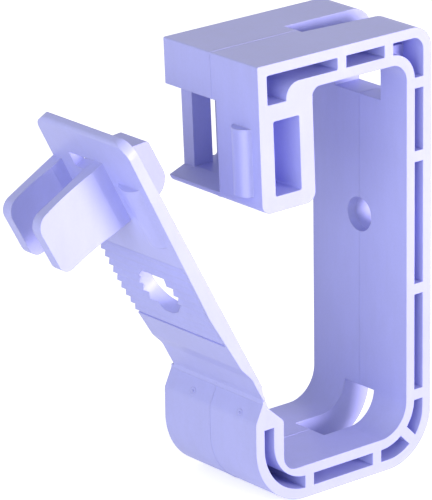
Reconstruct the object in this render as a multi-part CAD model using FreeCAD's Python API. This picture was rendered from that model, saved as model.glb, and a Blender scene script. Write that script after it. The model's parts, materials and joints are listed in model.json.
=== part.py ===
import FreeCAD, Part
import math
import os
from FreeCAD import Vector

# Cable bundle holder: a C-shaped frame that is screwed to a wall, and a gate that closes it.
# Frame and gate are one moulding, joined by a film hinge. Lengths are in millimetres.
# +Z is up and +X points into the wall. The origin is on the screw's axis, at the seat of its head.

# Frame, outside
DEPTH = 26.4
FRAME_WIDTH = 43.1
FRAME_HEIGHT = 85.4
TOP_BACK_RADIUS = 4.6
BOTTOM_BACK_RADIUS = 10.6
BOTTOM_LEFT_RADIUS = 12.1

# Frame walls, each a double skin with ribs between
BACK_WALL = 6.1
TOP_WALL = 6.3
BOTTOM_WALL = 6.4
LEFT_WALL = 6.65
SKIN = 2.0
RIB = 2.1
WEB = 1.8
INNER_TOP_RADIUS = 3.6
INNER_BOTTOM_RADIUS = 6.3
INNER_LEFT_RADIUS = 3.0
BACK_RIB_HEIGHTS = (13.4, 34.5, 60.5, 74.7)
BOTTOM_RIB_PLACES = (12.85, 29.6)
TOP_RIB_PLACES = (21.2, 32.6)
CORNER_RIB_ANGLE = 45.0
LEFT_POCKET_TOP = 15.85
LEFT_POCKET_WIDTH = 2.3

# Head, the thick end of the top wall that takes the gate's hook
HEAD_LENGTH = 28.05
HEAD_THICKNESS = 12.65
HEAD_SKIN = 3.25
HEAD_FLOOR = 2.95
HEAD_EDGE_RADIUS = 0.3
HEAD_BOTTOM_RADIUS = 2.0
HEAD_INNER_RADIUS = 1.8
HEAD_TOP_POCKET = 5.6
HEAD_TOP_POCKET_WIDTH = 4.4
HEAD_TOP_POCKET_RADIUS = 3.0
CATCH_SKIN = 2.1
CATCH_HEIGHT = 8.9
CATCH_INNER_SKIN = 1.2
JAMB_DEPTH = 12.0
SILL_LIP = 1.5
SILL_RAMP_RUN = 4.0
POST_DEPTH = 3.0
POST_WIDTH = 4.4
POST_INSET = 3.6

# Bead on the head's left face, which locates the closed gate
BEAD_RADIUS = 2.6
BEAD_RISE = 1.8
BEAD_LENGTH = 12.9
BEAD_START = 3.0
BEAD_FROM_FRONT = 4.85

# Screw hole in the back wall
SCREW_HEIGHT = 46.5
SCREW_HOLE = 6.7
PLUG_RECESS = 13.0
BOSS_WALL = 1.9

# Slots through the two back corners, for a strap or a cable tie
SLOT_LINER = 1.6
TOP_SLOT_REACH = 21.3
TOP_SLOT_WIDTH = 5.0
TOP_SLOT_FLARE = 2.2
TOP_SLOT_FROM_REAR = 9.7
WINDOW_WIDTH = 12.8
WINDOW_FROM_REAR = 6.4
WINDOW_DROP = 15.15
BOTTOM_SLOT_REACH = 18.7
BOTTOM_SLOT_WIDTH = 8.3
BOTTOM_SLOT_FROM_REAR = 8.95
BOTTOM_SLOT_HEIGHT = 12.25

# Film hinge
FILM = 0.6
HINGE_HEIGHT = 22.05
HINGE_INSET = 1.98
HINGE_CLEARANCE = 0.05
SHOULDER_DROP = 5.4
SHOULDER_STEP = 0.8
SHOULDER_RADIUS = 2.0
NECK_DROP = 2.1
NECK_INSET = 1.0
OPEN_ANGLE = 28.8
CLOSED_ANGLE = 2.0

# Gate
GATE_DEPTH = 25.8
GATE_LENGTH = 63.4
GATE_INNER = 0.85
GATE_GAP = 0.5
GATE_THICK_LOW = 2.95
GATE_THICK_TOP = 2.0
GATE_THICK_HEIGHT = 22.0
GATE_BACK_RADIUS = 12.0
GATE_CREASE_HEIGHT = 8.6
GATE_CREASE_THICK = 2.1
GATE_CREASE_RADIUS = 2.0
GATE_FILM_HEIGHT = 5.4
GATE_FILM_RADIUS = 3.0
GATE_FRONT_RADIUS = 3.4
GATE_REAR_RADIUS = 3.0
GATE_TOP_EDGE_RADIUS = 0.8
GATE_FOOT = 1.2
SCREWDRIVER_HOLE = 10.0

# Grip ridges across the gate's outer face
GRIP_START = 15.6
GRIP_PITCH = 1.97
GRIP_COUNT = 10
GRIP_DEPTH = 0.5
GRIP_RISE = 0.15
GRIP_FRONT_MARGIN = 0.6

# Groove inside the gate for the bead, and the ridge that covers it outside
GROOVE_CLEARANCE = 0.3
RIDGE_RISE = 1.1
RIDGE_HALF = 2.85
RIDGE_ABOVE = 1.6
RIDGE_BELOW = -0.8

# Finger tabs, staggered: the front one stands beside the hook, the rear one at the gate's edge
TAB_THICK = 2.45
TAB_HEIGHT = 13.6
TAB_CORNER = 2.6
TAB_FRONT = 9.8
FRONT_TAB_LOW = 43.3
FRONT_TAB_REACH = 18.4
REAR_TAB_LOW = 40.4
REAR_TAB_REACH = 15.7
TAB_DRAFT = 1.0
TAB_ROOT = 1.0
SCOOP_DEPTH = 0.6
SCOOP_START = 2.4

# Hook on the gate's inner face
HOOK_WIDTH = 7.3
HOOK_SIDE_CLEARANCE = 0.45
HOOK_REACH = 9.2
HOOK_LOW = 41.4
HOOK_TIP_HEIGHT = 51.6
HOOK_TIP_RADIUS = 0.9
HOOK_NOSE_RADIUS = 3.6
BARB_PASSAGE = 0.3
BARB_HEIGHT = 1.1
HOOK_CLEARANCE = 0.3
HOOK_RELIEF_TOP = 56.6

X_INNER_BACK = 0.0
X_BACK = X_INNER_BACK + BACK_WALL
X_LEFT = X_BACK - FRAME_WIDTH
Z_BOTTOM = -SCREW_HEIGHT
Z_TOP = Z_BOTTOM + FRAME_HEIGHT
Y_FRONT = -DEPTH / 2
Y_REAR = DEPTH / 2
X_INNER_LEFT = X_LEFT + LEFT_WALL
Z_INNER_TOP = Z_TOP - TOP_WALL
Z_INNER_BOTTOM = Z_BOTTOM + BOTTOM_WALL
Z_HEAD = Z_TOP - HEAD_LENGTH
HINGE = Vector(X_LEFT + HINGE_INSET, 0, Z_BOTTOM + HINGE_HEIGHT)
Y_AXIS = Vector(0, 1, 0)
OVERSHOOT = 5.0


def rounded_outline(corners):
    """Closed wire in the XZ plane through corners (x, z, radius), with an arc at each radius."""
    count = len(corners)
    starts = []
    ends = []
    middles = []
    for i in range(count):
        x, z, radius = corners[i]
        corner = Vector(x, 0, z)
        before = Vector(corners[i - 1][0], 0, corners[i - 1][1]) - corner
        after = Vector(corners[(i + 1) % count][0], 0, corners[(i + 1) % count][1]) - corner
        before.normalize()
        after.normalize()
        half = before.getAngle(after) / 2
        if radius <= 0 or half > math.radians(89.9):
            starts.append(corner)
            ends.append(corner)
            middles.append(None)
            continue
        reach = radius / math.tan(half)
        bisector = before + after
        bisector.normalize()
        starts.append(corner + before * reach)
        ends.append(corner + after * reach)
        middles.append(corner + bisector * (radius / math.sin(half) - radius))
    edges = []
    for i in range(count):
        if middles[i] is not None:
            edges.append(Part.Arc(starts[i], middles[i], ends[i]).toShape())
        following = starts[(i + 1) % count]
        if ends[i].distanceToPoint(following) > 1e-6:
            edges.append(Part.LineSegment(ends[i], following).toShape())
    return Part.Wire(edges)


def prism(corners, y_start, y_end):
    """Solid of a rounded outline, from one depth to another."""
    face = Part.Face(rounded_outline(corners))
    face.translate(Vector(0, y_start, 0))
    return face.extrude(Vector(0, y_end - y_start, 0))


def block(x_low, x_high, y_low, y_high, z_low, z_high):
    """Box between two corners."""
    return Part.makeBox(x_high - x_low, y_high - y_low, z_high - z_low, Vector(x_low, y_low, z_low))


def head_face(z, inward=0.0):
    """X of the head's left face at a height, which is parallel to the closed gate."""
    lean = math.radians(CLOSED_ANGLE)
    return HINGE.x - (z - HINGE.z) * math.tan(lean) + (GATE_INNER + GATE_GAP + inward) / math.cos(lean)


def frame_outline():
    """Corners of the C-shaped side view, from the hinge seat round the outside and back inside."""
    seat = HINGE.z - FILM / 2 - HINGE_CLEARANCE
    return [
        (HINGE.x - FILM / 2, seat, 0),
        (HINGE.x - FILM / 2, seat - FILM, FILM),
        (X_LEFT, HINGE.z - SHOULDER_DROP + SHOULDER_STEP, SHOULDER_RADIUS),
        (X_LEFT, Z_BOTTOM, BOTTOM_LEFT_RADIUS),
        (X_BACK, Z_BOTTOM, BOTTOM_BACK_RADIUS),
        (X_BACK, Z_TOP, TOP_BACK_RADIUS),
        (head_face(Z_TOP), Z_TOP, HEAD_EDGE_RADIUS),
        (head_face(Z_HEAD), Z_HEAD, HEAD_BOTTOM_RADIUS),
        (head_face(Z_HEAD, HEAD_THICKNESS), Z_HEAD, HEAD_BOTTOM_RADIUS),
        (head_face(Z_INNER_TOP, HEAD_THICKNESS), Z_INNER_TOP, HEAD_INNER_RADIUS),
        (X_INNER_BACK, Z_INNER_TOP, INNER_TOP_RADIUS),
        (X_INNER_BACK, Z_INNER_BOTTOM, INNER_BOTTOM_RADIUS),
        (X_INNER_LEFT, Z_INNER_BOTTOM, INNER_LEFT_RADIUS),
        (X_INNER_LEFT, HINGE.z - SHOULDER_DROP, NECK_INSET),
        (HINGE.x + NECK_INSET, HINGE.z - NECK_DROP, NECK_INSET),
        (HINGE.x + FILM / 2, seat, 0),
    ]


def corner_rib():
    """Slab across the bottom back corner, square to the skins."""
    centre = Vector(X_BACK - BOTTOM_BACK_RADIUS, 0, Z_BOTTOM + BOTTOM_BACK_RADIUS)
    slab = block(0, 2 * BOTTOM_BACK_RADIUS, Y_FRONT - OVERSHOOT, Y_REAR + OVERSHOOT, -RIB / 2, RIB / 2)
    slab.rotate(Vector(0, 0, 0), Y_AXIS, CORNER_RIB_ANGLE)
    slab.translate(centre)
    return slab


def skin_band():
    """Space between the two skins of the left, bottom, back and top walls, with the ribs left out."""
    outer = [
        (X_LEFT + SKIN, Z_TOP - SKIN, 0),
        (X_LEFT + SKIN, Z_BOTTOM + SKIN, BOTTOM_LEFT_RADIUS - SKIN),
        (X_BACK - SKIN, Z_BOTTOM + SKIN, BOTTOM_BACK_RADIUS - SKIN),
        (X_BACK - SKIN, Z_TOP - SKIN, TOP_BACK_RADIUS - SKIN),
    ]
    left_radius = BOTTOM_LEFT_RADIUS - SKIN - LEFT_POCKET_WIDTH
    inner = [
        (X_LEFT + SKIN + LEFT_POCKET_WIDTH, Z_INNER_TOP + SKIN, 0),
        (X_LEFT + SKIN + LEFT_POCKET_WIDTH, Z_INNER_BOTTOM - SKIN, left_radius),
        (X_INNER_BACK + SKIN, Z_INNER_BOTTOM - SKIN, INNER_BOTTOM_RADIUS + SKIN),
        (X_INNER_BACK + SKIN, Z_INNER_TOP + SKIN, INNER_TOP_RADIUS + SKIN),
    ]
    low, high = Y_FRONT - OVERSHOOT, Y_REAR + OVERSHOOT
    band = prism(outer, low, high).cut(prism(inner, low, high))
    dividers = [corner_rib()]
    for place in BACK_RIB_HEIGHTS:
        level = Z_BOTTOM + place
        start = X_BACK - BOTTOM_BACK_RADIUS
        dividers.append(block(start, X_BACK, low, high, level - RIB / 2, level + RIB / 2))
    for place in BOTTOM_RIB_PLACES:
        across = X_LEFT + place
        dividers.append(block(across - RIB / 2, across + RIB / 2, low, high, Z_BOTTOM, Z_INNER_BOTTOM))
    across = X_LEFT + TOP_RIB_PLACES[1]
    dividers.append(block(across - RIB / 2, across + RIB / 2, low, high, Z_INNER_TOP, Z_TOP))
    across = X_LEFT + TOP_RIB_PLACES[0]
    dividers.append(block(X_LEFT, across + RIB / 2, low, high, Z_BOTTOM + LEFT_POCKET_TOP, Z_TOP))
    for divider in dividers:
        band = band.cut(divider)
    return band


def head_top_pocket(left_skin):
    """Pocket in the head and the top wall, down to the first rib of the top wall."""
    low = Z_TOP - SKIN - HEAD_TOP_POCKET
    step = head_face(low, left_skin + HEAD_TOP_POCKET_WIDTH)
    end = X_LEFT + TOP_RIB_PLACES[0] - RIB / 2
    corners = [
        (head_face(Z_TOP - SKIN, left_skin), Z_TOP - SKIN, 0.3),
        (head_face(low, left_skin), low, 0.3),
        (step, low, 0),
        (step, Z_INNER_TOP + SKIN, min(HEAD_TOP_POCKET_RADIUS, HEAD_TOP_POCKET - TOP_WALL + 2 * SKIN)),
        (end, Z_INNER_TOP + SKIN, 0.3),
        (end, Z_TOP - SKIN, 0.3),
    ]
    return prism(corners, Y_FRONT - OVERSHOOT, Y_REAR + OVERSHOOT)


def head_front_pocket():
    """Lower pocket in the head, open to the front."""
    high = Z_TOP - SKIN - HEAD_TOP_POCKET - HEAD_SKIN
    low = Z_HEAD + HEAD_FLOOR
    right = HEAD_THICKNESS - HEAD_SKIN
    corners = [
        (head_face(high, HEAD_SKIN), high, 0.4),
        (head_face(low, HEAD_SKIN), low, 0.4),
        (head_face(low, right), low, 0.4),
        (head_face(high, right), high, 0.4),
    ]
    return prism(corners, Y_FRONT - OVERSHOOT, Y_FRONT + JAMB_DEPTH - WEB)


def catch_cavity():
    """Space in the head's rear half that takes the hook, open to the left and the rear."""
    catch = Z_TOP - CATCH_HEIGHT
    floor = Z_HEAD + HEAD_FLOOR
    lip = Z_HEAD + SILL_LIP
    right = HEAD_THICKNESS - CATCH_INNER_SKIN
    corners = [
        (head_face(Z_TOP - SKIN, CATCH_SKIN), Z_TOP - SKIN, 0.5),
        (head_face(catch, CATCH_SKIN), catch, 0),
        (head_face(catch, -OVERSHOOT), catch, 0),
        (head_face(lip, -OVERSHOOT), lip, 0),
        (head_face(lip), lip, 0),
        (head_face(floor, SILL_RAMP_RUN), floor, 0),
        (head_face(floor, right), floor, 0.5),
        (head_face(Z_TOP - SKIN, right), Z_TOP - SKIN, 0.5),
    ]
    cavity = prism(corners, Y_FRONT + JAMB_DEPTH, Y_REAR + OVERSHOOT)
    return cavity.cut(catch_post())


def catch_post():
    """Bar that stands at the rear of the catch cavity."""
    floor = Z_HEAD + HEAD_FLOOR
    corners = [
        (head_face(Z_TOP, POST_INSET), Z_TOP, 0),
        (head_face(floor - 1, POST_INSET), floor - 1, 0),
        (head_face(floor - 1, POST_INSET + POST_WIDTH), floor - 1, 0),
        (head_face(Z_TOP, POST_INSET + POST_WIDTH), Z_TOP, 0),
    ]
    return prism(corners, Y_REAR - POST_DEPTH, Y_REAR)


def bead():
    """Half-round bead on the head's left face, parallel to that face."""
    start = Z_HEAD + BEAD_START
    sink = BEAD_RADIUS - BEAD_RISE
    foot = Vector(head_face(start, sink), Y_FRONT + BEAD_FROM_FRONT, start)
    lean = math.radians(CLOSED_ANGLE)
    along = Vector(-math.sin(lean), 0, math.cos(lean))
    return Part.makeCylinder(BEAD_RADIUS, BEAD_LENGTH, foot, along)


def top_slot(margin):
    """Slot through the top wall, wider towards the back, grown by a margin for its liner."""
    rear = Y_REAR - TOP_SLOT_FROM_REAR + margin
    front = Y_REAR - TOP_SLOT_FROM_REAR - TOP_SLOT_WIDTH - margin
    left = X_BACK - TOP_SLOT_REACH - margin
    points = [
        Vector(left, rear, 0),
        Vector(left, front, 0),
        Vector(X_BACK + OVERSHOOT, front - TOP_SLOT_FLARE, 0),
        Vector(X_BACK + OVERSHOOT, rear, 0),
    ]
    face = Part.Face(Part.makePolygon(points + points[:1]))
    low = Z_INNER_TOP - INNER_TOP_RADIUS - margin
    face.translate(Vector(0, 0, low))
    return face.extrude(Vector(0, 0, Z_TOP + OVERSHOOT - low))


def back_window(margin):
    """Window through the upper back wall, below the top slot."""
    rear = Y_REAR - WINDOW_FROM_REAR + margin
    front = Y_REAR - WINDOW_FROM_REAR - WINDOW_WIDTH - margin
    left = X_INNER_BACK - INNER_TOP_RADIUS
    low = Z_TOP - WINDOW_DROP - margin
    return block(left, X_BACK + OVERSHOOT, front, rear, low, Z_INNER_TOP + margin)


def bottom_slot(margin):
    """Slot through the bottom wall and round the bottom back corner."""
    rear = Y_REAR - BOTTOM_SLOT_FROM_REAR + margin
    front = Y_REAR - BOTTOM_SLOT_FROM_REAR - BOTTOM_SLOT_WIDTH - margin
    high = Z_BOTTOM + BOTTOM_SLOT_HEIGHT + margin
    left = X_BACK - BOTTOM_SLOT_REACH - margin
    return block(left, X_BACK + OVERSHOOT, front, rear, Z_BOTTOM - OVERSHOOT, high)


def screw_boss(radius):
    """Cylinder round the screw's axis, through the back wall."""
    return Part.makeCylinder(radius, BACK_WALL, Vector(X_INNER_BACK, 0, 0), Vector(1, 0, 0))


def pockets():
    """All pockets between the skins, from the front and from the rear to the middle web."""
    liners = [
        top_slot(SLOT_LINER),
        back_window(SLOT_LINER),
        bottom_slot(SLOT_LINER),
        screw_boss(PLUG_RECESS / 2 + BOSS_WALL),
    ]
    web_layer = block(X_LEFT - 1, X_BACK + 1, -WEB / 2, WEB / 2, Z_BOTTOM - 1, Z_TOP + 1)
    rear_half = block(X_LEFT - 1, X_BACK + 1, 0, Y_REAR + OVERSHOOT, Z_BOTTOM - 1, Z_TOP + 1)
    front_half = block(X_LEFT - 1, X_BACK + 1, Y_FRONT - OVERSHOOT, 0, Z_BOTTOM - 1, Z_TOP + 1)
    hollow = [
        skin_band(),
        head_top_pocket(CATCH_SKIN).common(front_half),
        head_top_pocket(CATCH_SKIN).common(rear_half),
    ]
    cuts = []
    for space in hollow:
        for liner in liners + [web_layer]:
            space = space.cut(liner)
        cuts.extend(space.Solids)
    cuts.append(head_front_pocket())
    cuts.append(catch_cavity())
    return cuts


def holder_frame():
    """The C-shaped frame with its pockets, catch, bead, slots and screw hole."""
    frame = prism(frame_outline(), Y_FRONT, Y_REAR)
    for pocket in pockets():
        frame = frame.cut(pocket)
    frame = frame.fuse(bead())
    for opening in (top_slot(0), back_window(0), bottom_slot(0)):
        frame = frame.cut(opening)
    screw_axis = Vector(1, 0, 0)
    hole = Part.makeCylinder(SCREW_HOLE / 2, BACK_WALL + 2, Vector(X_INNER_BACK - 1, 0, 0), screw_axis)
    recess = Part.makeCylinder(PLUG_RECESS / 2, BACK_WALL, Vector(X_INNER_BACK + SKIN, 0, 0), screw_axis)
    return frame.cut(hole).cut(recess).removeSplitter()


def gate_outer(height):
    """Outward distance of the gate's outer face from the hinge line, at a height on the gate."""
    crease = GATE_CREASE_THICK - GATE_INNER
    low = GATE_THICK_LOW - GATE_INNER
    top = GATE_THICK_TOP - GATE_INNER
    if height < GATE_THICK_HEIGHT:
        share = (height - GATE_CREASE_HEIGHT) / (GATE_THICK_HEIGHT - GATE_CREASE_HEIGHT)
        return crease + (low - crease) * share
    share = (height - GATE_THICK_HEIGHT) / (GATE_LENGTH - GATE_THICK_HEIGHT)
    return low + (top - low) * share


def gate_blade():
    """The gate's arm, upright over the hinge line, with its round nose and tapered root."""
    corners = [
        (FILM / 2, 0, 0),
        (FILM / 2, GATE_FOOT, FILM),
        (GATE_INNER, 2 * GATE_FOOT, FILM),
        (GATE_INNER, GATE_LENGTH, 0.4),
        (-gate_outer(GATE_LENGTH), GATE_LENGTH, GATE_TOP_EDGE_RADIUS),
        (-gate_outer(GATE_THICK_HEIGHT), GATE_THICK_HEIGHT, GATE_BACK_RADIUS),
        (-gate_outer(GATE_CREASE_HEIGHT), GATE_CREASE_HEIGHT, GATE_CREASE_RADIUS),
        (-FILM / 2, GATE_FILM_HEIGHT, GATE_FILM_RADIUS),
        (-FILM / 2, 0, 0),
    ]
    blade = prism(corners, Y_FRONT, Y_FRONT + GATE_DEPTH)
    nose = Part.makeCylinder(FILM / 2, GATE_DEPTH, Vector(0, Y_FRONT, 0), Y_AXIS)
    blade = blade.fuse(nose)
    return blade.common(gate_front_view())


def gate_front_view():
    """Slab with the gate's outline as seen from the left: rounded at both top corners."""
    y_low = Y_FRONT
    y_high = Y_FRONT + GATE_DEPTH
    corners = [
        (y_low, -OVERSHOOT, 0),
        (y_high, -OVERSHOOT, 0),
        (y_high, GATE_LENGTH, GATE_REAR_RADIUS),
        (y_low, GATE_LENGTH, GATE_FRONT_RADIUS),
    ]
    slab = prism(corners, -4 * OVERSHOOT, 4 * OVERSHOOT)
    slab.rotate(Vector(0, 0, 0), Vector(0, 0, 1), 90)
    return slab


def grip_ridges():
    """Saw-tooth ridges across the outer face, as one strip that is fused to the gate."""
    corners = [(0, GRIP_START - GRIP_PITCH / 2, 0)]
    for i in range(GRIP_COUNT):
        level = GRIP_START + i * GRIP_PITCH
        surface = gate_outer(level)
        corners.append((-surface + GRIP_DEPTH, level - GRIP_PITCH / 2, 0))
        corners.append((-surface - GRIP_RISE, level, 0))
    end = GRIP_START + (GRIP_COUNT - 0.5) * GRIP_PITCH
    corners.append((-gate_outer(end) + GRIP_DEPTH, end, 0))
    corners.append((0, end, 0))
    return prism(corners, Y_FRONT + GRIP_FRONT_MARGIN, Y_FRONT + GATE_DEPTH)


def grip_bed():
    """Recess in the outer face that the ridges stand in."""
    start = GRIP_START - GRIP_PITCH / 2
    end = GRIP_START + (GRIP_COUNT - 0.5) * GRIP_PITCH
    corners = [
        (-gate_outer(start) + GRIP_DEPTH, start, 0),
        (-OVERSHOOT, start, 0),
        (-OVERSHOOT, end, 0),
        (-gate_outer(end) + GRIP_DEPTH, end, 0),
    ]
    return prism(corners, Y_FRONT + GRIP_FRONT_MARGIN, Y_FRONT + GATE_DEPTH + 1)


def bead_span():
    """Heights on the gate of the bead's two ends when the gate is closed."""
    lean = math.cos(math.radians(CLOSED_ANGLE))
    start = (Z_HEAD + BEAD_START - HINGE.z) / lean
    return start, start + BEAD_LENGTH


def bead_groove():
    """Groove in the gate's inner face that takes the bead with a clearance."""
    start, end = bead_span()
    axis_x = GATE_INNER + GATE_GAP + BEAD_RADIUS - BEAD_RISE
    foot = Vector(axis_x, Y_FRONT + BEAD_FROM_FRONT, start - GROOVE_CLEARANCE)
    length = end - start + 2 * GROOVE_CLEARANCE
    return Part.makeCylinder(BEAD_RADIUS + GROOVE_CLEARANCE, length, foot, Vector(0, 0, 1))


def groove_ridge():
    """Rounded back of the groove, raised on the gate's outer face."""
    start, end = bead_span()
    low = start - RIDGE_BELOW
    high = end + RIDGE_ABOVE
    surface = gate_outer((low + high) / 2)
    radius = (RIDGE_HALF ** 2 + RIDGE_RISE ** 2) / (2 * RIDGE_RISE)
    centre = Y_FRONT + BEAD_FROM_FRONT
    foot = Vector(radius - surface - RIDGE_RISE, centre, low)
    bulge = Part.makeCylinder(radius, high - low, foot, Vector(0, 0, 1))
    return bulge.common(block(-OVERSHOOT, 0, centre - radius, centre + radius, low, high))


def finger_tab(y_front, low, reach):
    """One finger tab: a rounded plate square to the depth, with a shallow scoop in its front face."""
    side = [
        (-TAB_ROOT, low, 0),
        (-reach, low + TAB_DRAFT, TAB_CORNER),
        (-reach, low + TAB_HEIGHT, TAB_CORNER),
        (-TAB_ROOT, low + TAB_HEIGHT, 0),
    ]
    plate = prism(side, y_front, y_front + TAB_THICK)
    scoop_end = gate_outer(low) + SCOOP_START
    half = (reach - scoop_end) / 2
    radius = (half ** 2 + SCOOP_DEPTH ** 2) / (2 * SCOOP_DEPTH)
    foot = Vector(-scoop_end - half, y_front + SCOOP_DEPTH - radius, low - 1)
    return plate.cut(Part.makeCylinder(radius, TAB_HEIGHT + 2, foot, Vector(0, 0, 1)))


def hook_front():
    """Depth of the hook's front face, just behind the jamb of the catch."""
    return Y_FRONT + JAMB_DEPTH + HOOK_SIDE_CLEARANCE


def catch_level():
    """Height on the gate that meets the catch's lower edge when the gate is closed."""
    return (Z_TOP - CATCH_HEIGHT - HINGE.z) / math.cos(math.radians(CLOSED_ANGLE))


def barb_levels():
    """Heights on the gate of the notch's floor and of the barb's peak, which clears the catch."""
    peak = catch_level() - BARB_PASSAGE
    return peak - BARB_HEIGHT, peak


def hook():
    """Hook with a rounded nose below, a slope above and a barb behind a notch for the catch."""
    notch, peak = barb_levels()
    barb = GATE_INNER + GATE_GAP + CATCH_SKIN + HOOK_CLEARANCE
    tip = GATE_INNER + HOOK_REACH
    corners = [
        (GATE_INNER - 0.5, HOOK_LOW - 1.0, 0),
        (tip, HOOK_LOW, HOOK_NOSE_RADIUS),
        (tip, HOOK_TIP_HEIGHT, HOOK_TIP_RADIUS),
        (barb + 0.4, peak, 0.3),
        (barb, peak, 0.3),
        (barb, notch, 0.3),
        (GATE_INNER - 0.5, notch, 0),
    ]
    return prism(corners, hook_front(), hook_front() + HOOK_WIDTH)


def hook_relief():
    """Opening in the gate above the hook, through which the barb's undercut is moulded."""
    notch, peak = barb_levels()
    rear = hook_front() + HOOK_WIDTH
    return block(-OVERSHOOT, GATE_INNER + 1, hook_front(), rear, notch, HOOK_RELIEF_TOP)


def upright_gate():
    """The whole gate, upright over the hinge line at the origin."""
    gate = gate_blade()
    gate = gate.cut(grip_bed()).fuse(grip_ridges())
    gate = gate.fuse(groove_ridge()).cut(bead_groove())
    gate = gate.fuse(finger_tab(Y_FRONT + TAB_FRONT, FRONT_TAB_LOW, FRONT_TAB_REACH))
    gate = gate.fuse(finger_tab(Y_FRONT + GATE_DEPTH - TAB_THICK, REAR_TAB_LOW, REAR_TAB_REACH))
    gate = gate.cut(hook_relief()).fuse(hook())
    screw_level = -HINGE.z / math.cos(math.radians(CLOSED_ANGLE))
    start = Vector(-OVERSHOOT, 0, screw_level)
    driver_way = Part.makeCylinder(SCREWDRIVER_HOLE / 2, 2 * OVERSHOOT, start, Vector(1, 0, 0))
    return gate.cut(driver_way).removeSplitter()


def gate():
    """The gate as it is moulded, leaning open by its angle."""
    shape = upright_gate()
    shape.rotate(Vector(0, 0, 0), Y_AXIS, -OPEN_ANGLE)
    shape.translate(HINGE)
    return shape


def export(name, shape):
    """Write one node and print its size, so that a bad shape shows at once."""
    box = shape.BoundBox
    size = (round(box.XLength, 2), round(box.YLength, 2), round(box.ZLength, 2))
    print(name, "valid", shape.isValid(), "solids", len(shape.Solids), "mm3", round(shape.Volume, 1), size)
    shape.exportStep(os.path.join("parts", name + ".step"))


os.makedirs("parts", exist_ok=True)
export("holder_frame", holder_frame())
export("gate", gate())
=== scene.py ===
import json
import math

import bmesh
import bpy
from bpy.props import FloatProperty, FloatVectorProperty, PointerProperty
from mathutils import Matrix, Vector


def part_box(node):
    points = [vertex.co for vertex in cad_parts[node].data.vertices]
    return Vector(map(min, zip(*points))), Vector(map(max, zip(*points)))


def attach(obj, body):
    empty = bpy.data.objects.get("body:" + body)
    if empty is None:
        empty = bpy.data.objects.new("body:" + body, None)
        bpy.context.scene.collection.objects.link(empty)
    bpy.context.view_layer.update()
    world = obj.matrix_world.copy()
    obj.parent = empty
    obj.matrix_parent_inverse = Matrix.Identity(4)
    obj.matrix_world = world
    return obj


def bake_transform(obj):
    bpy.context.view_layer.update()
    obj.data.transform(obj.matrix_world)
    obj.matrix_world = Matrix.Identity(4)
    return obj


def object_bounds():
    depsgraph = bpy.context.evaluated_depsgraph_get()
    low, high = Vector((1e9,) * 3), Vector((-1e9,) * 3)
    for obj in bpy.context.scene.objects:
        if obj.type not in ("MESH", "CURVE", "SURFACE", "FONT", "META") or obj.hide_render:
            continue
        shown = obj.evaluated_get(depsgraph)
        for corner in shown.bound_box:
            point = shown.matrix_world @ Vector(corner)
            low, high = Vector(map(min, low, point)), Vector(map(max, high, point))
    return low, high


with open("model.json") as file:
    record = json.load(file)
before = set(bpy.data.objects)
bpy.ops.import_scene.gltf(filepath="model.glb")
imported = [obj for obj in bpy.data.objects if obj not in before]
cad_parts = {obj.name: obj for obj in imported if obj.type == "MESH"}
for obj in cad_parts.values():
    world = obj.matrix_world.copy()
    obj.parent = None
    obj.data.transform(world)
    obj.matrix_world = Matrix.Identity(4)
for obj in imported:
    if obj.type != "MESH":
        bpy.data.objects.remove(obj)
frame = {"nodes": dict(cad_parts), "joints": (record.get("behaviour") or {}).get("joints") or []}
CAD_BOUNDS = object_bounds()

bl_info = {
    "name": "Cable bundle holder",
    "version": (1, 0, 0),
    "blender": (4, 5, 0),
    "location": "View3D > Sidebar > Cable holder",
    "description": "Dresses a cable bundle holder with a film-hinged gate and sets it in a plain studio",
    "category": "Object",
}

MM = 0.001
HINGE = Vector(frame["joints"][0]["pos_m"])
REST_LEAN = math.radians(28.8)

# Film hinge: steps of its bend, steps of its straight run, and its margins at both ends
BEND_STEPS = 6
RUN_STEPS = 4
FILM_MARGIN = 0.15 * MM

# Parting plane, a hair off the middle so that it meets no vertex, and the weld before the cut
PARTING_PLACE = 0.02 * MM
WELD = 0.002 * MM

# Back wall round the screw, and its recess
RECESS_FLOOR = 2.0 * MM
RECESS_RADIUS = 6.5 * MM
SCREW_RADIUS = 3.35 * MM
BACK_FACE = 6.1 * MM

# Shoulder below the hinge, and its marks: name, depth, and share of the way up the slope
SHOULDER_FOOT = Vector((-37.0, 0.0, -29.05)) * MM
SHOULDER_TOP = Vector((-35.32, 0.0, -25.4)) * MM
MARKS = (("mould_mark_rear", 5.6 * MM, 0.33), ("mould_mark_front", -8.0 * MM, 0.23))

# Studio, from the middle of the holder: name, power setting, place, size and tint
LAMPS = (
    ("key_light", "key_power", (0.30, -0.80, 0.10), 0.35, (1.0, 0.93, 1.0)),
    ("fill_light", "fill_power", (-0.75, -0.33, 0.06), 0.60, (0.97, 1.0, 1.0)),
)
FLOOR_GLOW = 0.62
FLOOR_RADIUS = 3.0
FLOOR_GAP = 0.05 * MM
AIM = Vector((-34.87, 0.8, 0.76)) * MM
FRAMING_SHIFT = 0.0043


class HolderPlastic(bpy.types.PropertyGroup):
    """Colour and surface of the moulded plastic."""

    colour: FloatVectorProperty(
        name="Colour", description="Base colour of the plastic", subtype="COLOR",
        size=3, min=0.0, max=1.0, default=(0.430, 0.446, 0.84))
    # Paler colour painted along the edges as a highlight
    edge_highlight_colour: FloatVectorProperty(
        name="Edge colour", description="Paler colour along rubbed edges", subtype="COLOR",
        size=3, min=0.0, max=1.0, default=(0.58, 0.58, 0.90))
    roughness: FloatProperty(
        name="Roughness", description="Mean roughness of the moulded skin",
        min=0.0, max=1.0, default=0.42)
    edge_radius: FloatProperty(
        name="Edge radius", description="Radius that softens the moulded edges",
        unit="LENGTH", min=0.0, max=0.001, default=0.22 * MM)
    grain: FloatProperty(
        name="Grain", description="Size of the fine spark-eroded grain",
        unit="LENGTH", min=0.0001, max=0.002, default=0.35 * MM)


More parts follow.
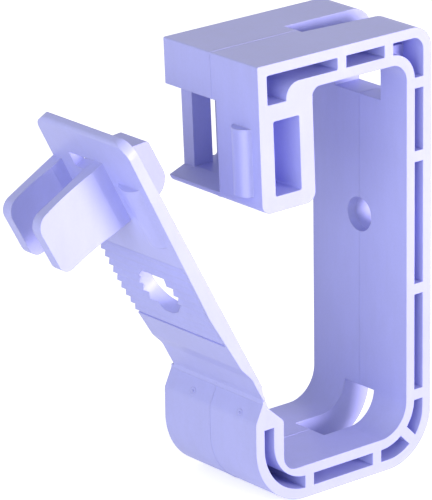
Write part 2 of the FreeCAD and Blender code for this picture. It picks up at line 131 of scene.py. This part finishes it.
class HolderDetails(bpy.types.PropertyGroup):
    """Sizes of the small moulded details."""

    film_thickness: FloatProperty(
        name="Film thickness", description="Thickness of the film hinge",
        unit="LENGTH", min=0.0002, max=0.002, default=0.66 * MM)
    film_reach: FloatProperty(
        name="Film reach", description="How far the film runs on above and below the hinge line",
        unit="LENGTH", min=0.0005, max=0.004, default=1.0 * MM)
    parting_width: FloatProperty(
        name="Parting ridge", description="Width of the fine ridge where the mould halves meet",
        unit="LENGTH", min=0.00005, max=0.001, default=0.16 * MM)
    mark_radius: FloatProperty(
        name="Mark radius", description="Radius of the round marks on the shoulder",
        unit="LENGTH", min=0.0003, max=0.002, default=0.8 * MM)
    mark_lip: FloatProperty(
        name="Mark lip", description="How far the rim of a round mark stands up",
        unit="LENGTH", min=0.00001, max=0.0003, default=0.07 * MM)
    mark_tip: FloatProperty(
        name="Mark tip", description="How far the point in the middle of a round mark stands up",
        unit="LENGTH", min=0.00001, max=0.0006, default=0.2 * MM)
    collar_gap: FloatProperty(
        name="Collar gap", description="Gap between the collar and the recess round the screw",
        unit="LENGTH", min=0.00001, max=0.0002, default=0.04 * MM)


class HolderStudio(bpy.types.PropertyGroup):
    """Light, floor and camera."""

    key_power: FloatProperty(
        name="Key power", description="Power of the soft box in front, in watts",
        min=0.0, max=50.0, default=9.0)
    fill_power: FloatProperty(
        name="Fill power", description="Power of the soft box at the side, in watts",
        min=0.0, max=50.0, default=4.8)
    sky: FloatProperty(
        name="Sky", description="Strength of the even light from all round",
        min=0.0, max=2.0, default=0.50)
    floor_colour: FloatVectorProperty(
        name="Floor colour", description="Colour of the plain floor", subtype="COLOR",
        size=3, min=0.0, max=1.0, default=(0.86, 0.86, 0.87))
    lens: FloatProperty(
        name="Lens", description="Focal length for a 36 mm sensor, in millimetres",
        min=50.0, max=1000.0, default=314.8)
    distance: FloatProperty(
        name="Distance", description="From the camera to the middle of the holder",
        unit="LENGTH", min=0.2, max=5.0, default=0.8)
    heading: FloatProperty(
        name="Heading", description="Turn of the camera about the vertical",
        subtype="ANGLE", default=math.radians(-39.554))
    elevation: FloatProperty(
        name="Elevation", description="Height of the camera above the horizon",
        subtype="ANGLE", default=math.radians(19.224))
    roll: FloatProperty(
        name="Roll", description="Tilt of the camera about its own axis",
        subtype="ANGLE", default=math.radians(-0.8))


class Value:
    """A shader socket that takes part in Python sums; each sum adds its Math node."""

    def __init__(self, paint, socket):
        self.paint = paint
        self.socket = socket

    def math(self, operation, first, second):
        return self.paint.add("ShaderNodeMath", {"operation": operation}, {0: first, 1: second})

    def __add__(self, other):
        return self.math("ADD", self, other)

    def __radd__(self, other):
        return self.math("ADD", other, self)

    def __sub__(self, other):
        return self.math("SUBTRACT", self, other)

    def __rsub__(self, other):
        return self.math("SUBTRACT", other, self)

    def __mul__(self, other):
        return self.math("MULTIPLY", self, other)

    def __rmul__(self, other):
        return self.math("MULTIPLY", other, self)


class Paint:
    """One material and the nodes that make it."""

    def __init__(self, name):
        self.material = bpy.data.materials.new(name)
        self.material.use_nodes = True
        self.tree = self.material.node_tree
        self.tree.nodes.clear()

    def add(self, kind, settings=None, sockets=None, output=0):
        """Adds a node, sets it up, feeds its sockets and returns one of its outputs."""
        node = self.tree.nodes.new(kind)
        for name, setting in (settings or {}).items():
            setattr(node, name, setting)
        for key, value in (sockets or {}).items():
            if isinstance(value, Value):
                self.tree.links.new(value.socket, node.inputs[key])
            else:
                node.inputs[key].default_value = value
        return Value(self, node.outputs[output]) if node.outputs else None

    def mix(self, share, first, second):
        """Mixes two colours by a share."""
        return self.add("ShaderNodeMix", {"data_type": "RGBA"}, {0: share, 6: first, 7: second}, 2)

    def noise(self, place, scale, detail=2.0, roughness=0.5):
        """Smooth noise from 0 to 1 at a number of swells per metre."""
        return self.add("ShaderNodeTexNoise", None, {
            "Vector": place, "Scale": scale, "Detail": detail, "Roughness": roughness})

    def ramp(self, value, low, high):
        """Stretches the span from low to high over 0 to 1."""
        return self.add("ShaderNodeMapRange", {"clamp": True}, {
            0: value, 1: low, 2: high, 3: 0.0, 4: 1.0})

    def finish(self, colour, roughness, normal, **fixed):
        """Puts the parts together on one Principled shader."""
        sockets = {"Base Color": colour, "Roughness": roughness, "Normal": normal}
        sockets.update(fixed)
        shader = self.add("ShaderNodeBsdfPrincipled", None, sockets)
        self.add("ShaderNodeOutputMaterial", None, {"Surface": shader})
        return self.material


def four(colour, gain=1.0):
    """A colour property as the four numbers that a socket takes."""
    return (colour[0] * gain, colour[1] * gain, colour[2] * gain, 1.0)


def lavender_plastic(settings, name):
    """Satin lavender plastic with clouding, flow streaks, a fine grain and a painted highlight along its
    edges.
    """
    paint = Paint(name)
    place = paint.add("ShaderNodeTexCoord", None, None, 3)
    upward = (1.0, 1.0, 0.25)
    along = paint.add("ShaderNodeMapping", None, {"Vector": place, "Scale": upward})
    clouds = paint.noise(place, 45.0, 3.0, 0.55)
    streaks = paint.noise(along, 420.0, 3.0, 0.6)
    specks = paint.noise(place, 1900.0, 2.0, 0.5)
    grain = paint.noise(place, 1.0 / settings.grain, 2.0, 0.6)
    rounded = paint.add("ShaderNodeBevel", {"samples": 6}, {"Radius": settings.edge_radius})
    true_normal = paint.add("ShaderNodeNewGeometry", None, None, 1)
    turned = paint.add("ShaderNodeVectorMath", {"operation": "DOT_PRODUCT"},
                       {0: rounded, 1: true_normal}, 1)
    edge = paint.ramp(1.0 - turned, 0.02, 0.22)
    shade = 0.5 * clouds + 0.3 * streaks + 0.2 * specks
    body = paint.mix(paint.ramp(shade, 0.38, 0.62),
                     four(settings.colour, 0.955), four(settings.colour, 1.03))
    # Painted highlight: the edges, where the rounded normal turns from the true one, are painted paler,
    # broken up by the specks
    highlighted = edge * (0.25 + 0.5 * specks)
    colour = paint.mix(highlighted, body, four(settings.edge_highlight_colour))
    roughness = settings.roughness - 0.05 + 0.08 * streaks + 0.05 * specks - 0.06 * edge
    skin = paint.add("ShaderNodeBump", None, {
        "Strength": 0.28, "Distance": 0.02 * MM, "Height": grain, "Normal": rounded})
    flow = paint.add("ShaderNodeBump", None, {
        "Strength": 0.35, "Distance": 0.05 * MM, "Height": streaks + 0.6 * clouds, "Normal": skin})
    return paint.finish(colour, roughness, flow, **{"IOR": 1.49})


def plastic_of(node):
    """The plastic that a node of the frame wears."""
    return frame["nodes"][node].data.materials[0]


def deselect():
    """Leaves edit mode and nothing selected."""
    if bpy.context.object and bpy.context.object.mode != "OBJECT":
        bpy.ops.object.mode_set(mode="OBJECT")
    bpy.ops.object.select_all(action="DESELECT")


def pick(piece, test, mode="VERT"):
    """In edit mode, selects the vertices or faces whose place and normal pass a test."""
    mesh = bmesh.from_edit_mesh(piece.data)
    bpy.ops.mesh.select_all(action="DESELECT")
    bpy.ops.mesh.select_mode(type=mode)
    if mode == "FACE":
        for face in mesh.faces:
            face.select_set(test(face.calc_center_median(), face.normal))
    else:
        for vertex in mesh.verts:
            vertex.select_set(test(vertex.co, vertex.normal))
        mesh.select_flush(True)
    bmesh.update_edit_mesh(piece.data)


def settle(piece, name, body, material, smooth=30.0):
    """Applies the piece's place, names it, shades it and lets it ride on a body."""
    deselect()
    piece.select_set(True)
    bpy.context.view_layer.objects.active = piece
    bpy.ops.object.transform_apply(location=True, rotation=True, scale=True)
    bpy.ops.object.shade_smooth_by_angle(angle=math.radians(smooth))
    piece.name = name
    piece.data.name = name
    piece.data.materials.clear()
    piece.data.materials.append(material)
    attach(piece, body)
    deselect()
    return piece


class HOLDER_OT_plastic(bpy.types.Operator):
    """Finish the frame and the gate in satin lavender plastic"""

    bl_idname = "holder.plastic"
    bl_label = "Plastic finish"

    def execute(self, context):
        settings = context.scene.holder_plastic
        for node in ("holder_frame", "gate"):
            material = lavender_plastic(settings, node + "_plastic")
            mesh = frame["nodes"][node].data
            mesh.materials.clear()
            mesh.materials.append(material)
        return {"FINISHED"}


class HOLDER_OT_film_hinge(bpy.types.Operator):
    """Model the thin film that joins the gate to the frame, bent to the gate's lean at rest"""

    bl_idname = "holder.film_hinge"
    bl_label = "Film hinge"

    def execute(self, context):
        details = context.scene.holder_details
        low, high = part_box("gate")
        depth = high.y - low.y - 2 * FILM_MARGIN
        reach = details.film_reach
        deselect()
        start = HINGE - Vector((0, 0, 0.5 * reach))
        start.y = (low.y + high.y) / 2
        bpy.ops.mesh.primitive_cube_add(size=1.0, location=start)
        film = context.object
        film.scale = (details.film_thickness, depth, reach)
        bpy.ops.object.transform_apply(location=True, rotation=True, scale=True)
        bpy.ops.object.mode_set(mode="EDIT")
        pick(film, lambda place, normal: normal.z > 0.9, "FACE")
        for _ in range(BEND_STEPS):
            bpy.ops.mesh.extrude_region_move(TRANSFORM_OT_translate={"value": (0, 0, 0.02 * reach)})
            bpy.ops.transform.rotate(value=REST_LEAN / BEND_STEPS, orient_axis="Y", orient_type="GLOBAL",
                                     center_override=tuple(HINGE))
        along = Vector((-math.sin(REST_LEAN), 0, math.cos(REST_LEAN))) * reach / RUN_STEPS
        for _ in range(RUN_STEPS):
            bpy.ops.mesh.extrude_region_move(TRANSFORM_OT_translate={"value": tuple(along)})
        bpy.ops.object.mode_set(mode="OBJECT")
        tip = max(film.data.vertices, key=lambda vertex: vertex.co.z).co
        if tip.x > HINGE.x:
            raise RuntimeError("the film leans away from the gate")
        settle(film, "film_hinge", "frame", plastic_of("gate"))
        film.parent = None
        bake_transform(film)
        return {"FINISHED"}


class HOLDER_OT_parting_ridge(bpy.types.Operator):
    """Model the fine ridge round the frame where the two halves of the mould met"""

    bl_idname = "holder.parting_ridge"
    bl_label = "Parting ridge"

    def execute(self, context):
        details = context.scene.holder_details
        deselect()
        ridge = frame["nodes"]["holder_frame"].copy()
        ridge.data = ridge.data.copy()
        for key in list(ridge.keys()):
            del ridge[key]
        ridge.parent = None
        context.scene.collection.objects.link(ridge)
        ridge.select_set(True)
        context.view_layer.objects.active = ridge
        bpy.ops.object.mode_set(mode="EDIT")
        bpy.ops.mesh.select_all(action="SELECT")
        bpy.ops.mesh.remove_doubles(threshold=WELD)
        bpy.ops.mesh.select_all(action="SELECT")
        bpy.ops.mesh.bisect(plane_co=(0, PARTING_PLACE, 0), plane_no=(0, 1, 0),
                            clear_inner=True, clear_outer=True)
        bpy.ops.object.mode_set(mode="OBJECT")
        bpy.ops.object.convert(target="CURVE")
        curve = context.object.data
        curve.bevel_depth = details.parting_width / 2
        curve.bevel_resolution = 1
        bpy.ops.object.convert(target="MESH")
        settle(context.object, "parting_ridge", "frame", plastic_of("holder_frame"))
        return {"FINISHED"}


class HOLDER_OT_mould_marks(bpy.types.Operator):
    """Model the two round marks that moulding left on the shoulder below the hinge"""

    bl_idname = "holder.mould_marks"
    bl_label = "Mould marks"

    def execute(self, context):
        details = context.scene.holder_details
        rise = (SHOULDER_TOP - SHOULDER_FOOT).normalized()
        outward = Vector((-rise.z, 0.0, rise.x))
        turn = outward.to_track_quat("Z", "Y").to_euler()
        for name, depth, share in MARKS:
            place = SHOULDER_FOOT.lerp(SHOULDER_TOP, share)
            place.y = depth
            deselect()
            bpy.ops.mesh.primitive_cylinder_add(vertices=32, radius=details.mark_radius,
                                                depth=2 * details.mark_lip, location=place, rotation=turn)
            mark = context.object
            bpy.ops.object.transform_apply(location=True, rotation=True, scale=True)
            bpy.ops.object.mode_set(mode="EDIT")
            pick(mark, lambda centre, normal: normal.dot(outward) > 0.9, "FACE")
            bpy.ops.mesh.inset(thickness=0.25 * details.mark_radius)
            bpy.ops.transform.translate(value=tuple(-0.7 * details.mark_lip * outward))
            bpy.ops.mesh.inset(thickness=0.45 * details.mark_radius)
            bpy.ops.mesh.extrude_region_move(
                TRANSFORM_OT_translate={"value": tuple(details.mark_tip * outward)})
            bpy.ops.object.mode_set(mode="OBJECT")
            settle(mark, name, "frame", plastic_of("holder_frame"))
        return {"FINISHED"}


class HOLDER_OT_screw_collar(bpy.types.Operator):
    """Model the collar that carries the screw hole through the full back wall"""

    bl_idname = "holder.screw_collar"
    bl_label = "Screw collar"

    def execute(self, context):
        gap = context.scene.holder_details.collar_gap
        start = RECESS_FLOOR + gap
        length = BACK_FACE - gap - start
        flare = (RECESS_RADIUS - gap) / SCREW_RADIUS
        deselect()
        bpy.ops.mesh.primitive_circle_add(vertices=64, radius=SCREW_RADIUS, fill_type="NOTHING",
                                          location=(start, 0, 0), rotation=(0, math.radians(90), 0))
        collar = context.object
        bpy.ops.object.transform_apply(location=True, rotation=True, scale=True)
        bpy.ops.object.mode_set(mode="EDIT")
        bpy.ops.mesh.select_mode(type="VERT")
        bpy.ops.mesh.select_all(action="SELECT")
        for travel, scale in ((0, flare), (length, 1.0), (0, 1.0 / flare), (-length, 1.0)):
            bpy.ops.mesh.extrude_region_move(TRANSFORM_OT_translate={"value": (travel, 0, 0)})
            bpy.ops.transform.resize(value=(1.0, scale, scale), center_override=(start, 0, 0))
        bpy.ops.mesh.select_all(action="SELECT")
        bpy.ops.mesh.remove_doubles(threshold=WELD / 2)
        bpy.ops.mesh.normals_make_consistent(inside=False)
        bpy.ops.object.mode_set(mode="OBJECT")
        mesh = bmesh.new()
        mesh.from_mesh(collar.data)
        closed = all(len(edge.link_faces) == 2 for edge in mesh.edges)
        volume = mesh.calc_volume(signed=True)
        mesh.free()
        if not closed or volume <= 0:
            raise RuntimeError("the collar isn't closed with its faces outward")
        settle(collar, "screw_collar", "frame", plastic_of("holder_frame"))
        return {"FINISHED"}


class HOLDER_OT_studio(bpy.types.Operator):
    """Set the floor, the soft light and the camera"""

    bl_idname = "holder.studio"
    bl_label = "Studio"

    def execute(self, context):
        studio = context.scene.holder_studio
        low, high = CAD_BOUNDS
        middle = (low + high) / 2
        deselect()
        bpy.ops.mesh.primitive_circle_add(vertices=96, radius=FLOOR_RADIUS, fill_type="NGON",
                                          location=(middle.x, middle.y, low.z - FLOOR_GAP))
        floor = context.object
        floor.name = "floor"
        paint = Paint("pale_floor")
        seen = paint.add("ShaderNodeLightPath", None, None, 0)
        glossy = paint.add("ShaderNodeLightPath", None, None, 3)
        through = paint.add("ShaderNodeLightPath", None, None, 6)
        shader = paint.add("ShaderNodeBsdfPrincipled", None, {
            "Base Color": four(studio.floor_colour), "Roughness": 0.9,
            "Emission Color": (1.0, 1.0, 1.0, 1.0),
            "Emission Strength": FLOOR_GLOW * (seen + glossy + through)})
        paint.add("ShaderNodeOutputMaterial", None, {"Surface": shader})
        floor.data.materials.append(paint.material)

        world = bpy.data.worlds.new("studio_light")
        context.scene.world = world
        world.use_nodes = True
        tree = world.node_tree
        tree.nodes.clear()
        path = tree.nodes.new("ShaderNodeLightPath")
        shown = tree.nodes.new("ShaderNodeMath")
        shown.operation = "MAXIMUM"
        tree.links.new(path.outputs["Is Camera Ray"], shown.inputs[0])
        tree.links.new(path.outputs["Is Glossy Ray"], shown.inputs[1])
        also = tree.nodes.new("ShaderNodeMath")
        also.operation = "MAXIMUM"
        tree.links.new(shown.outputs[0], also.inputs[0])
        tree.links.new(path.outputs["Is Transmission Ray"], also.inputs[1])
        strength = tree.nodes.new("ShaderNodeMapRange")
        tree.links.new(also.outputs[0], strength.inputs[0])
        strength.inputs[3].default_value = studio.sky
        strength.inputs[4].default_value = 1.0
        background = tree.nodes.new("ShaderNodeBackground")
        background.inputs["Color"].default_value = (1.0, 1.0, 1.0, 1.0)
        tree.links.new(strength.outputs[0], background.inputs["Strength"])
        output = tree.nodes.new("ShaderNodeOutputWorld")
        tree.links.new(background.outputs[0], output.inputs["Surface"])

        for name, power, place, size, tint in LAMPS:
            self.soft_box(context, name, middle + Vector(place), middle, size,
                          getattr(studio, power), tint)

        turn = (Matrix.Rotation(studio.heading, 3, "Z")
                @ Matrix.Rotation(math.radians(90.0) - studio.elevation, 3, "X")
                @ Matrix.Rotation(studio.roll, 3, "Z"))
        camera_data = bpy.data.cameras.new("camera")
        camera = bpy.data.objects.new("camera", camera_data)
        context.scene.collection.objects.link(camera)
        camera_data.lens = studio.lens
        camera_data.sensor_width = 36.0
        camera_data.shift_x = FRAMING_SHIFT
        camera_data.clip_start = 0.05
        camera_data.clip_end = 20.0
        back = turn @ Vector((0.0, 0.0, 1.0))
        camera.matrix_world = Matrix.Translation(AIM + back * studio.distance) @ turn.to_4x4()
        context.scene.camera = camera
        context.scene.view_settings.view_transform = "Standard"
        return {"FINISHED"}

    def soft_box(self, context, name, place, target, size, power, tint):
        """Adds one square area lamp that faces the target."""
        lamp = bpy.data.lights.new(name, "AREA")
        lamp.shape = "SQUARE"
        lamp.size = size
        lamp.energy = power
        lamp.color = tint
        holder = bpy.data.objects.new(name, lamp)
        context.scene.collection.objects.link(holder)
        holder.location = place
        holder.rotation_euler = (target - place).to_track_quat("-Z", "Y").to_euler()


class HOLDER_PT_panel(bpy.types.Panel):
    """Lists the steps that dress the cable holder"""

    bl_label = "Cable holder"
    bl_space_type = "VIEW_3D"
    bl_region_type = "UI"
    bl_category = "Cable holder"

    def draw(self, context):
        for step in STEPS:
            self.layout.operator("holder." + step)
        for group in ("holder_plastic", "holder_details", "holder_studio"):
            settings = getattr(context.scene, group)
            for name in settings.__annotations__:
                self.layout.prop(settings, name)


STEPS = ("plastic", "film_hinge", "parting_ridge", "mould_marks", "screw_collar", "studio")
GROUPS = {
    "holder_plastic": HolderPlastic,
    "holder_details": HolderDetails,
    "holder_studio": HolderStudio,
}
CLASSES = (
    HolderPlastic, HolderDetails, HolderStudio, HOLDER_OT_plastic, HOLDER_OT_film_hinge,
    HOLDER_OT_parting_ridge, HOLDER_OT_mould_marks, HOLDER_OT_screw_collar, HOLDER_OT_studio,
    HOLDER_PT_panel,
)


def register():
    for entry in CLASSES:
        bpy.utils.register_class(entry)
    for name, group in GROUPS.items():
        setattr(bpy.types.Scene, name, PointerProperty(type=group))


def unregister():
    for name in GROUPS:
        delattr(bpy.types.Scene, name)
    for entry in reversed(CLASSES):
        bpy.utils.unregister_class(entry)


def main():
    """Registers the add-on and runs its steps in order."""
    register()
    for step in STEPS:
        getattr(bpy.ops.holder, step)()


if __name__ == "__main__":
    main()
